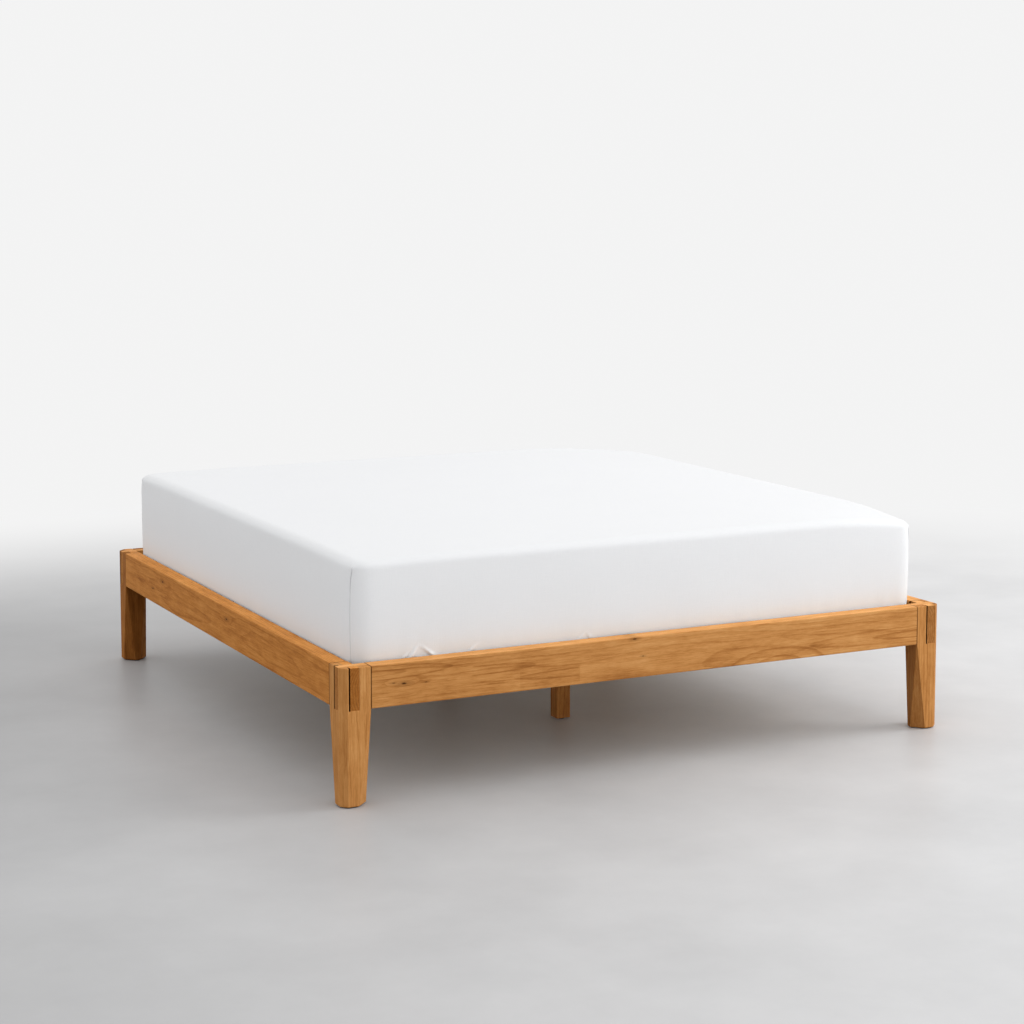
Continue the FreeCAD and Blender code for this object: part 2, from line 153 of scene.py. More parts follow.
def emboss(shader, height, strength, distance, **normal):
    """Fine relief on a finish."""
    feeds = {"Strength": strength, "Distance": distance, "Height": height, **normal}
    fill(shader, {"Normal": join("Bump", feeds).outputs[0]})


def grained_wood(name, grain, pith, seed, tone=0.0, colours=honey, ring=0.008, knots=(), boards=(), joints=(),
                 shade_slits=(), flames=(), tone_and_shade_scale=(1.0, 1.0, 1.0), painted_shade_side=None):
    """Solid wood for any face: rings round a pith line, streaks and pores along the grain axis, darker end
    grain, edges painted paler as a painted highlight, and faces turned up painted lighter as painted light.
    Knots are (along, height, size). Boards are staves of another tone, (start, stop, low, high, tone,
    softness). Joints are places along the grain where a dark line of painted shade runs in the gap between
    rail and post. Shade slits are boxes seen from above, (low x, low y, high x, high y), filled with painted
    shade. Flames are long pointed figures, (along, height, length, half height, lines, way that it points).
    The painted shade side is the way, seen from above, on which faces are painted darker as painted shade,
    and how much. The tone and shade scale multiplies the colours: a tone of the wood, or painted shade on a
    post."""
    material, tree, shader = finish_named(name)
    place = put(tree, "TexCoord", {})
    split = join("SeparateXYZ", {0: place.outputs["Object"]}).outputs
    along, side, up = split[grain], *(split[i] for i in range(3) if i != grain)

    def drawn_out(run, turn, shift, **settings):
        """Noise drawn out along the grain."""
        parts = {0: times(along, run), 1: times(side, turn), 2: times(up, turn)}
        return speckle(join("CombineXYZ", parts).outputs[0], seed + shift, **settings)

    wander = drawn_out(1.6, 9.0, 0.0, detail=2.0)
    mottle = drawn_out(11.0, 34.0, 3.0)
    broad = drawn_out(1.3, 50.0, 4.0, detail=2.0)
    streak = drawn_out(8.0, 240.0, 5.0, roughness=0.65)
    fibre = drawn_out(38.0, 760.0, 7.0, roughness=0.7)
    pore = drawn_out(75.0, 1500.0, 9.0, detail=1.0)

    swirl, knot_and_shade_mark = 0.0, 0.0
    for knot_along, knot_height, size in knots:
        run = times(calc("SUBTRACT", along, knot_along), 0.3)
        reach = span(run, calc("SUBTRACT", up, knot_height))
        reach = summed(reach, (fibre, size * 1.6))
        swirl = calc("ADD", swirl, fade(reach, 0.0, size * 6.0, size * 1.6))
        core = fade(reach, size * 0.25, size, 0.9)
        halo = fade(reach, size * 0.8, size * 3.2, 0.22)
        knot_and_shade_mark = calc("MAXIMUM", knot_and_shade_mark, calc("MAXIMUM", core, halo))

    radius = span(calc("SUBTRACT", side, pith[0]), calc("SUBTRACT", up, pith[1]))
    radius = calc("ADD", summed(radius, (wander, 0.034)), swirl)
    phase = calc("FRACT", calc("DIVIDE", summed(radius, (streak, 0.0016)), ring))
    late = times(ease(phase, 0.62, 0.95), fade(phase, 0.955, 1.0))

    value = summed(0.54 + tone, (streak, 0.42), (broad, 0.30), (mottle, 0.42), (fibre, 0.50), (late, -0.10))
    value = calc("ADD", value, ease(pore, 0.12, 0.24, 0.0, -0.16))
    for start, stop, low, high, shift, soft in boards:
        inside = times(window(along, start, stop, soft), window(up, low, high, 0.0006))
        value = summed(value, (inside, shift))
    for middle, level, length, tall, lines, way in flames:
        run = calc("DIVIDE", calc("SUBTRACT", along, middle), length)
        rise = calc("DIVIDE", calc("SUBTRACT", up, level), tall)
        reach = summed(span(run, rise), (wander, 0.45), (streak, 0.10))
        turn = calc("FRACT", times(reach, lines))
        line = times(ease(turn, 0.55, 0.90), fade(turn, 0.93, 1.0), fade(reach, 1.0, 1.2))
        if way:
            line = times(line, ease(times(run, way), -0.02, 0.02))
        value = summed(value, (line, -0.14))
    colour = ramp(value, [(at, [c * k for c, k in zip(shade, tone_and_shade_scale)]) for at, shade in colours])

    normal = join("SeparateXYZ", {0: place.outputs["Normal"]}).outputs
    end = ease(calc("ABSOLUTE", normal[grain]), 0.75, 0.95)
    rays = calc("MAXIMUM", summed(0.0, (late, 0.4), (mottle, 1.1)), 0.0)
    end_colour = tint(1.0, colour, (0.74, 0.69, 0.64), "MULTIPLY")
    colour = tint(end, colour, tint(rays, end_colour, (0.16, 0.064, 0.02)))

    rounded = put(tree, "Bevel", {"Radius": 0.0024}, samples=4).outputs[0]
    flat = put(tree, "NewGeometry", {}).outputs["Normal"]
    bend = join("VectorMath", {0: rounded, 1: flat}, operation="DOT_PRODUCT").outputs["Value"]
    # painted highlight: where the rounded normal leaves the flat one, edges are painted paler, mottled, as if
    # light catches them
    edge_highlight = times(fade(bend, 0.80, 0.985), summed(0.6, (mottle, 1.0)))
    colour = tint(edge_highlight, colour, (1.45, 1.52, 1.65), "MULTIPLY")
    # painted shade: faces turned towards the painted shade side get a darker colour
    if painted_shade_side:
        toward = summed(0.0, (normal[0], painted_shade_side[0]), (normal[1], painted_shade_side[1]))
        colour = tint(ease(toward, 0.3, 0.6, 0.0, painted_shade_side[2]), colour, (0.64, 0.60, 0.56), "MULTIPLY")
    # painted light: faces turned up are painted lighter than the sides
    colour = tint(ease(normal[2], 0.8, 0.97), colour, (1.52, 1.62, 1.78), "MULTIPLY")
    # painted shade: a thin dark line in the gap where the rail meets its post
    for joint in joints:
        off = calc("ABSOLUTE", calc("SUBTRACT", along, joint))
        knot_and_shade_mark = calc("MAXIMUM", knot_and_shade_mark, fade(off, 0.0007, 0.0026, 0.8))
    # painted shade: the inside of each groove beside a tongue is painted nearly black
    for box in shade_slits:
        inside = calc("GREATER_THAN", split[2], slit_floor)
        for axis in (0, 1):
            low, high = box[axis], box[axis + 2]
            inside = times(inside, calc("COMPARE", split[axis], (low + high) / 2, (high - low) / 2))
        knot_and_shade_mark = calc("MAXIMUM", knot_and_shade_mark, times(inside, 0.93))
    # the knots are the wood's own dark marks; the joint lines and groove boxes are painted shade
    if knots or joints or shade_slits:
        colour = tint(knot_and_shade_mark, colour, (0.040, 0.014, 0.005))

    dull = summed(0.56, (fibre, 0.2), (end, 0.2))
    fill(shader, {"Base Color": colour, "Roughness": dull, "Specular IOR Level": 0.03})
    height = summed(0.0, (fibre, 0.6), (pore, -0.5), (late, -0.15))
    emboss(shader, height, 0.3, 0.0006, Normal=rounded)
    return material


def dress(node, material):
    nodes[node].data.materials.clear()
    nodes[node].data.materials.append(material)


half_wide, half_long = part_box("foot_rail")[1].x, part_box("side_rail_right")[1].y
slit_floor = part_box("foot_rail")[0].z - 0.0012
groove_near, groove_far, groove_wide, groove_deep = 0.023, 0.050, 0.004, 0.012
face_skin, slit_room, side_room = 0.0004, 0.0003, 0.0012
shade_slits = {}
corners = {"foot_left": (-1, -1), "foot_right": (1, -1), "head_right": (1, 1), "head_left": (-1, 1)}
for corner, (sx, sy) in corners.items():
    # a groove runs down the left of each tongue, as seen from outside; these boxes mark where painted shade
    # fills it
    on_end, on_side = (groove_near, groove_far) if sx == sy else (groove_far, groove_near)
    for face, off_x, off_y, reach_x, reach_y, room in (
            ("end", on_end, face_skin, groove_wide, groove_deep, slit_room),
            ("side", face_skin, on_side, groove_deep, groove_wide, side_room)):
        xs = sorted((sx * (half_wide - off_x), sx * (half_wide - off_x - reach_x)))
        ys = sorted((sy * (half_long - off_y), sy * (half_long - off_y - reach_y)))
        shade_slits[corner, face] = (xs[0] - slit_room, ys[0] - room, xs[1] + slit_room, ys[1] + room)

# the pith is off the middle of each post; faces turned towards a post's painted shade side are painted
# darker, as painted shade
post_looks = {
    "foot_left": dict(pith=(0.075, 0.11), tone=0.05, painted_shade_side=(-1.0, 0.0, 0.34)),
    "foot_right": dict(pith=(-0.09, 0.08), tone=-0.02, painted_shade_side=(-1.0, 0.0, 1.0)),
    "head_right": dict(pith=(0.08, -0.10), painted_shade_side=(-0.7, -0.7, 1.0)),
    # this post's scale darkens it all over as painted shade, on top of its own tone
    "head_left": dict(pith=(-0.07, 0.09), tone=-0.06, painted_shade_side=(-0.34, -0.94, 1.0), tone_and_shade_scale=(0.70, 0.61, 0.45)),
}
for seed, (corner, look) in enumerate(post_looks.items()):
    low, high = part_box(f"corner_post_{corner}")
    middle = (low + high) / 2
    look["pith"] = (middle.x + look["pith"][0], middle.y + look["pith"][1])
    look["shade_slits"] = [shade_slits[corner, "end"], shade_slits[corner, "side"]]
    dress(f"corner_post_{corner}", grained_wood(f"honey_post_{corner}", 2, seed=seed * 11.3, **look))

# Rails
# Two end rails and two side rails of the same stained wood, planed flat with lightly eased edges. A tongue on
# each end is sawn out of the board and drops into the post, so its end grain shows on the post's face.

rail_low, rail_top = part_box("foot_rail")[0].z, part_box("foot_rail")[1].z
post_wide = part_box("corner_post_foot_left")[1].x + half_wide
end_joints = (post_wide - half_wide, half_wide - post_wide)
side_joints = (post_wide - half_long, half_long - post_wide)
rail_looks = {
    "foot_rail": dict(
        grain=0, pith=(-half_long + 0.17, rail_low + 0.035), seed=2.0, joints=end_joints,
        shade_slits=[shade_slits["foot_left", "side"], shade_slits["foot_right", "side"]],
        knots=((-0.834, 0.339, 0.004), (-0.865, 0.343, 0.002), (-0.766, 0.336, 0.0015),
               (-0.091, 0.394, 0.003), (-0.063, 0.34, 0.0018)),
        boards=((-0.35, 1.2, 0.0, 1.0, 0.035, 0.12), (-0.47, -0.275, 0.285, 0.335, -0.055, 0.0008)),
        flames=((-0.278, 0.316, 0.212, 0.014, 1.0, -1), (-0.62, 0.352, 0.215, 0.015, 1.0, 1),
                (0.42, 0.268, 0.17, 0.050, 2.0, 0), (0.97, 0.315, 0.44, 0.028, 2.0, -1),
                (-0.97, 0.375, 0.30, 0.022, 2.0, 1))),
    "head_rail": dict(
        grain=0, pith=(half_long - 0.15, rail_low + 0.07), seed=31.0, joints=end_joints,
        shade_slits=[shade_slits["head_left", "side"], shade_slits["head_right", "side"]], knots=((0.42, 0.35, 0.004),),
        flames=((-0.3, 0.33, 0.3, 0.03, 2.0, 1), (0.7, 0.36, 0.3, 0.03, 3.0, -1)),
        boards=((0.21, 1.2, 0.0, 1.0, -0.04, 0.001),)),
    "side_rail_left": dict(
        grain=1, pith=(-half_wide + 0.15, rail_low + 0.045), seed=47.0, joints=side_joints,
        shade_slits=[shade_slits["foot_left", "end"], shade_slits["head_left", "end"]], tone_and_shade_scale=(0.93, 0.82, 0.60),
        knots=((0.547, 0.368, 0.004), (0.657, 0.327, 0.003), (-0.113, 0.361, 0.004))),
    "side_rail_right": dict(
        grain=1, pith=(half_wide - 0.16, rail_low + 0.06), seed=63.0, joints=side_joints,
        shade_slits=[shade_slits["foot_right", "end"], shade_slits["head_right", "end"]],
        knots=((-0.38, 0.33, 0.004), (0.29, 0.352, 0.003))),
}
for node, look in rail_looks.items():
    dress(node, grained_wood(f"honey_{node}", **look))

# Felt pads
# Thin pads of pressed dark wool felt, cut a little smaller than the foot of each post and glued under it.


def own_place(tree):
    """Places in the piece's own coordinates."""
    return put(tree, "TexCoord", {}).outputs["Object"]


def own_noise(tree, scale, detail, **others):
    feeds = {"Vector": own_place(tree), "Scale": scale, "Detail": detail, **others}
    return join("TexNoise", feeds).outputs[0]


def show(name, mesh, body, slot, *stands_for):
    """A finished piece: its object, its body, its record slot, which is not used, and the CAD nodes that it
    stands for.
    """
    piece = bpy.data.objects.new(name, mesh)
    bpy.context.scene.collection.objects.link(piece)
    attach(piece, body)
    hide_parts(*stands_for)
    return piece


felt, tree, shader = finish_named("pressed_felt")
hair = own_noise(tree, 2600.0, 4.0, Distortion=1.5)
shade = summed(times(hair, 0.5), (own_noise(tree, 190.0, 2.0), 0.5))
browns = ramp(shade, [(0.3, (0.012, 0.009, 0.007)), (0.7, (0.055, 0.042, 0.032))])
fill(shader, {"Base Color": browns, "Roughness": 0.95, "Sheen Weight": 0.35})
emboss(shader, hair, 0.6, 0.0006)
for corner in corners:
    form = bmesh.new()
    form.from_mesh(nodes[f"felt_pad_{corner}"].data)
    bmesh.ops.remove_doubles(form, verts=form.verts, dist=0.00002)
    bmesh.ops.dissolve_limit(form, angle_limit=0.02, verts=form.verts, edges=form.edges)
    bmesh.ops.bevel(form, geom=form.edges[:], offset=0.0009, segments=3, affect="EDGES", profile=0.5)
    bmesh.ops.triangulate(form, faces=[f for f in form.faces if len(f.verts) > 4])
    bmesh.ops.recalc_face_normals(form, faces=form.faces)
    mesh = bpy.data.meshes.new(f"felt_{corner}")
    form.to_mesh(mesh)
    form.free()
    mesh.materials.append(felt)
    show(f"felt_under_{corner}", mesh, "bed_frame", "pad_felt", f"felt_pad_{corner}")

# Corner bolts
# Two zinc-plated socket-head bolts at each corner, pushed through washers from inside and turned with a key
# into brass inserts that are screwed into the rails' tongues.


def plated_metal(name, colour, rough):
    """Bare or plated metal with fine turning marks and a little dullness that varies over it."""
    material, tree, shader = finish_named(name)
    cloud = own_noise(tree, 140.0, 4.0)
    shade = tint(1.0, colour, summed(0.82, (cloud, 0.35)), "MULTIPLY")
    dull = summed(rough - 0.12, (cloud, 0.25))
    fill(shader, {"Base Color": shade, "Metallic": 1.0, "Roughness": dull})
    emboss(shader, own_noise(tree, 900.0, 2.0), 0.15, 0.0002)
    return material


def solids_of(node):
    """The lowest and highest corner of each solid in a node that groups several."""
    form = bmesh.new()
    form.from_mesh(nodes[node].data)
    bmesh.ops.remove_doubles(form, verts=form.verts, dist=0.00002)
    left, boxes = set(form.verts), []
    while left:
        found, queue = set(), [next(iter(left))]
        while queue:
            vert = queue.pop()
            if vert not in found:
                found.add(vert)
                queue.extend(edge.other_vert(vert) for edge in vert.link_edges)
        left -= found
        places = np.array([v.co for v in found])
        boxes.append((Vector(places.min(0)), Vector(places.max(0))))
    form.free()
    return sorted(boxes, key=lambda box: tuple(box[0]))


def bands(levels, count):
    """The faces between loops of points that follow one another."""
    return [(j + i, j + (i + 1) % count, j + count + (i + 1) % count, j + count + i)
            for j in range(0, (levels - 1) * count, count) for i in range(count)]


def stacked(name, loops):
    """A closed mesh through a stack of loops that have the same number of points."""
    count, last = len(loops[0]), (len(loops) - 1) * len(loops[0])
    faces = [range(count)[::-1], range(last, last + count), *bands(len(loops), count)]
    mesh = bpy.data.meshes.new(name)
    mesh.from_pydata([p for loop in loops for p in loop], [], faces)
    form = bmesh.new()
    form.from_mesh(mesh)
    bmesh.ops.recalc_face_normals(form, faces=form.faces)
    form.to_mesh(mesh)
    form.free()
    return mesh


def turned(name, profile, count=24):
    """A piece turned about Z. Its profile gives radii and heights and, where it isn't round, a shape: what
    the radius is multiplied by at each angle."""
    angles = [2 * math.pi * i / count for i in range(count)]
    loops = []
    for radius, z, *shape in profile:
        reach = [radius * shape[0](a) if shape else radius for a in angles]
        loops.append([(r * math.cos(a), r * math.sin(a), z) for r, a in zip(reach, angles)])
    return stacked(name, loops)


def thread(crest, root, start, step, count):
    """The profile of a screw's thread."""
    return [(crest if i % 2 else root, start + i * step) for i in range(count)]


def hex_socket(angle):
    return math.cos(math.pi / 6) / math.cos((angle + math.pi / 6) % (math.pi / 3) - math.pi / 6)


def cross_slot(angle):
    return 1.0 if abs(math.sin(2 * angle)) < 0.4 else 0.42


def set_out(name, pattern, places, finish, spin=0.0, seed=1):
    """Geometry Nodes that stand a copy of the pattern on each place, and the result as one plain mesh. A
    place is a point, the way that the pattern's Z faces, and the way of its X, or None; spin is the most that
    chance turns each about its Z."""
    points = bpy.data.meshes.new(name)
    points.from_pydata([place[0] for place in places], [], [])
    turns = []
    for _, facing, run in places:
        z = Vector(facing).normalized()
        x = Vector(run) if run is not None else z.orthogonal()
        x = (x - z * x.dot(z)).normalized()
        turns.extend(Matrix((x, z.cross(x), z)).transposed().to_euler())
    points.attributes.new("turn", "FLOAT_VECTOR", "POINT").data.foreach_set("vector", turns)
    tree = bpy.data.node_groups.new(name, "GeometryNodeTree")
    tree.interface.new_socket("Places", in_out="INPUT", socket_type="NodeSocketGeometry")
    inputs = {}
    for label, kind, value in (("Pattern", "Object", None), ("Finish", "Material", finish),
                               ("Spin", "Float", spin), ("Seed", "Int", seed)):
        socket = tree.interface.new_socket(label, in_out="INPUT", socket_type=f"NodeSocket{kind}")
        inputs[socket.identifier] = value
    pattern_key = list(inputs)[0]
    tree.interface.new_socket("Pieces", in_out="OUTPUT", socket_type="NodeSocketGeometry")
    enter = put(tree, "NodeGroupInput", {})
    shape = join("GeometryNodeObjectInfo", {"Object": enter.outputs["Pattern"]})
    turn = put(tree, "GeometryNodeInputNamedAttribute", {"Name": "turn"}, data_type="FLOAT_VECTOR")
    stand = join("FunctionNodeEulerToRotation", {0: turn.outputs["Attribute"]})
    chance = join("FunctionNodeRandomValue", {"Seed": enter.outputs["Seed"]}, data_type="FLOAT")
    angle = times(chance.outputs[1], enter.outputs["Spin"])
    about = join("FunctionNodeAxisAngleToRotation", {"Axis": (0.0, 0.0, 1.0), "Angle": angle})
    feeds = {0: stand.outputs[0], 1: about.outputs[0]}
    both = join("FunctionNodeRotateRotation", feeds, rotation_space="LOCAL")
    feeds = {"Points": enter.outputs["Places"], "Instance": shape.outputs["Geometry"],
             "Rotation": both.outputs[0]}
    copies = join("GeometryNodeInstanceOnPoints", feeds)
    real = join("GeometryNodeRealizeInstances", {0: copies.outputs[0]})
    feeds = {"Geometry": real.outputs[0], "Material": enter.outputs["Finish"]}
    faced = join("GeometryNodeSetMaterial", feeds)
    join("NodeGroupOutput", {0: faced.outputs[0]})
    holder = bpy.data.objects.new(name + "_places", points)
    model = bpy.data.objects.new(name + "_pattern", pattern)
    for thing in (holder, model):
        bpy.context.scene.collection.objects.link(thing)
    modifier = holder.modifiers.new("set_out", "NODES")
    modifier.node_group = tree
    for key, value in inputs.items():
        modifier[key] = model if key == pattern_key else value
    mesh = bpy.data.meshes.new_from_object(holder.evaluated_get(bpy.context.evaluated_depsgraph_get()))
    mesh.name = name
    for thing in (holder, model):
        bpy.data.objects.remove(thing)
    return mesh


def head_ends(node):
    """Where each screw's head is and the way it faces: the end of its box nearer the middle of the bed."""
    ends = []
    for low, high in solids_of(node):
        size, point, facing = list(high - low), (low + high) / 2, Vector((0, 0, 0))
        axis = size.index(max(size))
        facing[axis] = -1.0 if point[axis] > 0 else 1.0
        point[axis] = high[axis] if facing[axis] > 0 else low[axis]
        ends.append((point, facing, None))
    return ends


def fasten(kind, profile, seed):
    """A set of turned fasteners of plated steel, each turned about itself by chance."""
    mesh = set_out(f"{kind}_set", turned(kind, profile), head_ends(f"{kind}s"), zinc, spin=6.28, seed=seed)
    show(f"{kind}_set", mesh, "bed_frame", "zinc_steel", f"{kind}s")


zinc = plated_metal("zinc_plate", (0.56, 0.57, 0.56), 0.36)
brass = plated_metal("insert_brass", (0.70, 0.47, 0.18), 0.34)
bolt_low, bolt_high = solids_of("corner_bolts")[0]
tip = -max(bolt_high - bolt_low)
bolt = [(0.0030, tip), (0.0040, tip + 0.001), *thread(0.0040, 0.0036, tip + 0.002, 0.000625, 26),
        (0.0040, -0.005), (0.0062, -0.005), (0.0065, -0.0047), (0.0065, -0.0006), (0.0059, 0.0),
        (0.0031, 0.0), (0.0029, -0.0002, hex_socket), (0.0029, -0.0029, hex_socket)]
fasten("corner_bolt", bolt, seed=4)
dress("corner_washers", zinc)
dress("corner_inserts", brass)

# Slat ledgers
# Two strips of the frame's wood, glued and screwed to the inside of the side rails with countersunk screws,
# so that the slats' ends rest on them.

for seed, side in enumerate(("left", "right")):
    low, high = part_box(f"slat_ledger_{side}")
    pith = ((low.x + high.x) / 2 + 0.04 - 0.08 * seed, low.z - 0.03)
    look = grained_wood(f"honey_ledger_{side}", 1, pith, 80.0 + seed * 9, 0.02, ring=0.005)
    dress(f"slat_ledger_{side}", look)
screw_low, screw_high = solids_of("ledger_screws")[0]
tip = screw_low.x - screw_high.x
screw = [(0.0004, tip), (0.0024, tip + 0.007), *thread(0.0025, 0.0018, tip + 0.009, 0.0013, 22),
         (0.0025, -0.012), (0.0025, -0.0026), (0.0048, -0.0002), (0.0050, 0.0), (0.0030, 0.0, cross_slot),
         (0.0019, -0.0021, cross_slot)]
fasten("ledger_screw", screw, seed=7)

# Centre beam and its hangers
# A straight bar of the frame's wood from foot to head, dropped into two saddles of folded sheet steel with a
# black powder coat. Four pan-head screws hold each saddle to its end rail.

beam_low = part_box("centre_beam")[0]
dress("centre_beam", grained_wood("honey_beam", 1, (0.045, beam_low.z - 0.03), 101.0, -0.03))
coat, tree, shader = finish_named("black_powder_coat")
grit = own_noise(tree, 1500.0, 2.0)
blacks = ramp(own_noise(tree, 60.0, 3.0), [(0.3, (0.012, 0.012, 0.013)), (0.7, (0.028, 0.028, 0.030))])
fill(shader, {"Base Color": blacks, "Roughness": summed(0.42, (grit, 0.2))})
emboss(shader, grit, 0.35, 0.0004)
dress("beam_hanger_foot", coat)
dress("beam_hanger_head", coat)
pan = [(0.0004, -0.0326), (0.0021, -0.027), *thread(0.00225, 0.0017, -0.026, 0.0012, 16), (0.00225, -0.0065),
       (0.00225, -0.0026), (0.0043, -0.0026), (0.0045, -0.0022), (0.0044, -0.0011), (0.0037, -0.0003),
       (0.0029, 0.0), (0.0024, 0.0, cross_slot), (0.0015, -0.0017, cross_slot)]
fasten("hanger_screw", pan, seed=9)

# Centre legs and levellers
# Two square legs of the frame's wood, screwed up to the beam on double-ended studs. A moulded black foot with
# a grip rim turns on a threaded stem in a nut at the bottom of each leg.


def grip_rim(angle):
    return 1.0 + 0.032 * math.cos(18 * angle)


plastic, tree, shader = finish_named("moulded_black")
spark = join("TexVoronoi", {"Vector": own_place(tree), "Scale": 1400.0}).outputs[0]
cloud = own_noise(tree, 120.0, 3.0)
blacks = ramp(cloud, [(0.3, (0.010, 0.010, 0.010)), (0.7, (0.024, 0.023, 0.022))])
fill(shader, {"Base Color": blacks, "Roughness": summed(0.45, (cloud, 0.2))})
emboss(shader, spark, 0.25, 0.0003)
for end in ("foot", "head"):
    low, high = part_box(f"centre_leg_{end}")
    middle = (low + high) / 2
    look = grained_wood(f"honey_leg_{end}", 2, (middle.x + 0.05, middle.y + 0.04), 120.0 + middle.y, -0.16)
    dress(f"centre_leg_{end}", look)
    foot_low, foot_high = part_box(f"leveller_{end}")
    stem = foot_high.z - foot_low.z
    foot = [(0.0118, 0.0), (0.0130, 0.0002), (0.0134, 0.0010, grip_rim), (0.0134, 0.0040, grip_rim),
            (0.0128, 0.0049), (0.0050, 0.0050), (0.0040, 0.0052),
            *thread(0.0040, 0.0036, 0.0062, 0.000625, 50), (0.0036, stem - 0.0008), (0.0030, stem)]
    mesh = turned(f"leveller_{end}_moulded", foot, 72)
    mesh.transform(Matrix.Translation((middle.x, middle.y, foot_low.z)))
    mesh.materials.append(plastic)
    show(f"leveller_{end}_moulded", mesh, f"leveller_{end}", "leveller_plastic", f"leveller_{end}")
dress("centre_leg_studs", zinc)
dress("leveller_nuts", brass)

# Slats
# Sixteen planed boards of pale birch, left without lacquer, that lie loose across the ledgers and the beam.

birch = [(0.15, (0.36, 0.215, 0.095)), (0.42, (0.545, 0.365, 0.185)),
         (0.6, (0.645, 0.460, 0.255)), (0.88, (0.74, 0.565, 0.345))]
slat_names = [f"slat_{i:02d}" for i in range(1, 17)]
for i, node in enumerate(slat_names):
    low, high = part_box(node)
    swing = math.sin(i * 2.4)
    pith = ((low.y + high.y) / 2 + 0.05 * swing, low.z - 0.03 - 0.03 * abs(math.cos(i * 1.7)))
    dress(node, grained_wood(f"birch_{node}", 0, pith, 140.0 + i * 5.7, 0.05 * swing, birch, ring=0.0045))

# Slat straps and staples
# Two bands of black woven webbing under the slats keep them evenly spaced. Each band sags a little between
# the slats, and a wire staple is driven through it into every slat.

band, tree, shader = finish_named("black_webbing")
feeds = {"Vector": own_place(tree), "Scale": 330.0, "Distortion": 0.4, "Detail": 1.0}
weave = times(*(join("TexWave", feeds, bands_direction=way).outputs[1] for way in "XY"))
blacks = ramp(weave, [(0.0, (0.012, 0.012, 0.013)), (0.9, (0.060, 0.060, 0.064))])
fill(shader, {"Base Color": blacks, "Roughness": 0.75, "Sheen Weight": 0.2})
emboss(shader, weave, 0.5, 0.0006)
slat_boxes = [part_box(node) for node in slat_names]
band_sag, band_gap, band_edge, band_dip = 0.0032, 0.00005, 0.0005, 0.0001
for side in ("left", "right"):
    low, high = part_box(f"slat_strap_{side}")
    middle, half = (low.x + high.x) / 2, (high.x - low.x) / 2
    loops = []
    for y in np.linspace(low.y, high.y, 420):
        hang = 0.0
        for (_, before), (after, _) in zip(slat_boxes, slat_boxes[1:]):
            if before.y < y < after.y:
                hang = band_sag * math.sin(math.pi * (y - before.y) / (after.y - before.y)) ** 2
        top, bottom, edge = high.z - hang - band_gap, low.z - hang, half - band_edge
        section = [(-half, (top + bottom) / 2), (-edge, top), (0.0, top - band_dip), (edge, top),
                   (half, (top + bottom) / 2), (edge, bottom), (0.0, bottom + band_dip), (-edge, bottom)]
        loops.append([(middle + x, y, z) for x, z in section])
    mesh = stacked(f"strap_{side}_woven", loops)
    mesh.materials.append(band)
    strap = show(f"strap_{side}_woven", mesh, "slat_deck", "strap_webbing", f"slat_strap_{side}")

staple_places = []
for low, high in solids_of("strap_staples"):
    staple_places.append((Vector(((low.x + high.x) / 2, (low.y + high.y) / 2, low.z)), (0, 0, -1), (1, 0, 0)))
wire, reach, leg = 0.0005, 0.0054, 0.0088
bend = [(-reach, -leg), (-reach, -0.0022), (-reach + 0.0005, -0.0010), (-reach + 0.0016, -wire)]
bend += [(-x, z) for x, z in bend[::-1]]
staple_loops = []
for i, (x, z) in enumerate(bend):
    before, after = bend[max(i - 1, 0)], bend[min(i + 1, len(bend) - 1)]
    run = Vector((after[0] - before[0], after[1] - before[1])).normalized()
    ring = []
    for k in range(6):
        a = math.pi * k / 3
        out, aside = wire * math.cos(a), wire * math.sin(a)
        ring.append((x - run.y * out, aside, z + run.x * out))
    staple_loops.append(ring)
staples = set_out("staple_set", stacked("staple", staple_loops), staple_places, zinc)
show("staple_set", staples, "slat_deck", "zinc_steel", "strap_staples")

# Mattress
# A king-size block of foam in a knitted ticking cover. Its edges are rounded, its sides swell a little, and
# its top is slightly crowned and droops at its corners. It lies loose on the slats inside the rails.

slat_top = slat_boxes[0][1].z
bed_wide, bed_long, bed_high = 0.965, 1.016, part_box("fitted_sheet")[1].z - slat_top
corner_radius, corner_least, top_crown, crown_run, top_edge = 0.056, 0.034, 0.003, 0.52, 0.062
hem_reach, sheet_skin, foam_skin = 0.110, 0.0009, 0.0046
droop_left, droop_right, droop_reach, droop_high = 0.004, 0.022, 0.19, 0.14


def unit(values):
    return np.clip(values, 0, 1)


def bell(off, width):
    return np.exp(-(off / width) ** 2)


def smooth(share):
    return share * share * (3 - 2 * share)


def run_along(line):
    """How far along a line each of its points is."""
    return np.concatenate([[0], np.cumsum(np.linalg.norm(np.diff(line, axis=0), axis=1))])


def spaced(line, gaps):
    """Points along a line of points, as far apart as the gaps given at its points."""
    run = np.linalg.norm(np.diff(line, axis=0), axis=1)
    steps = np.concatenate([[0], np.cumsum(run * 2 / (gaps[1:] + gaps[:-1]))])
    at = np.linspace(0, steps[-1], int(round(steps[-1])) + 1)
    return np.stack([np.interp(at, steps, line[:, i]) for i in range(line.shape[1])], axis=1)


def softened(values, width):
    reach = int(3 * width)
    soft = np.exp(-(np.arange(-reach, reach + 1) / width) ** 2 / 2)
    return np.convolve(np.pad(values, reach, mode="edge"), soft / soft.sum(), "valid")


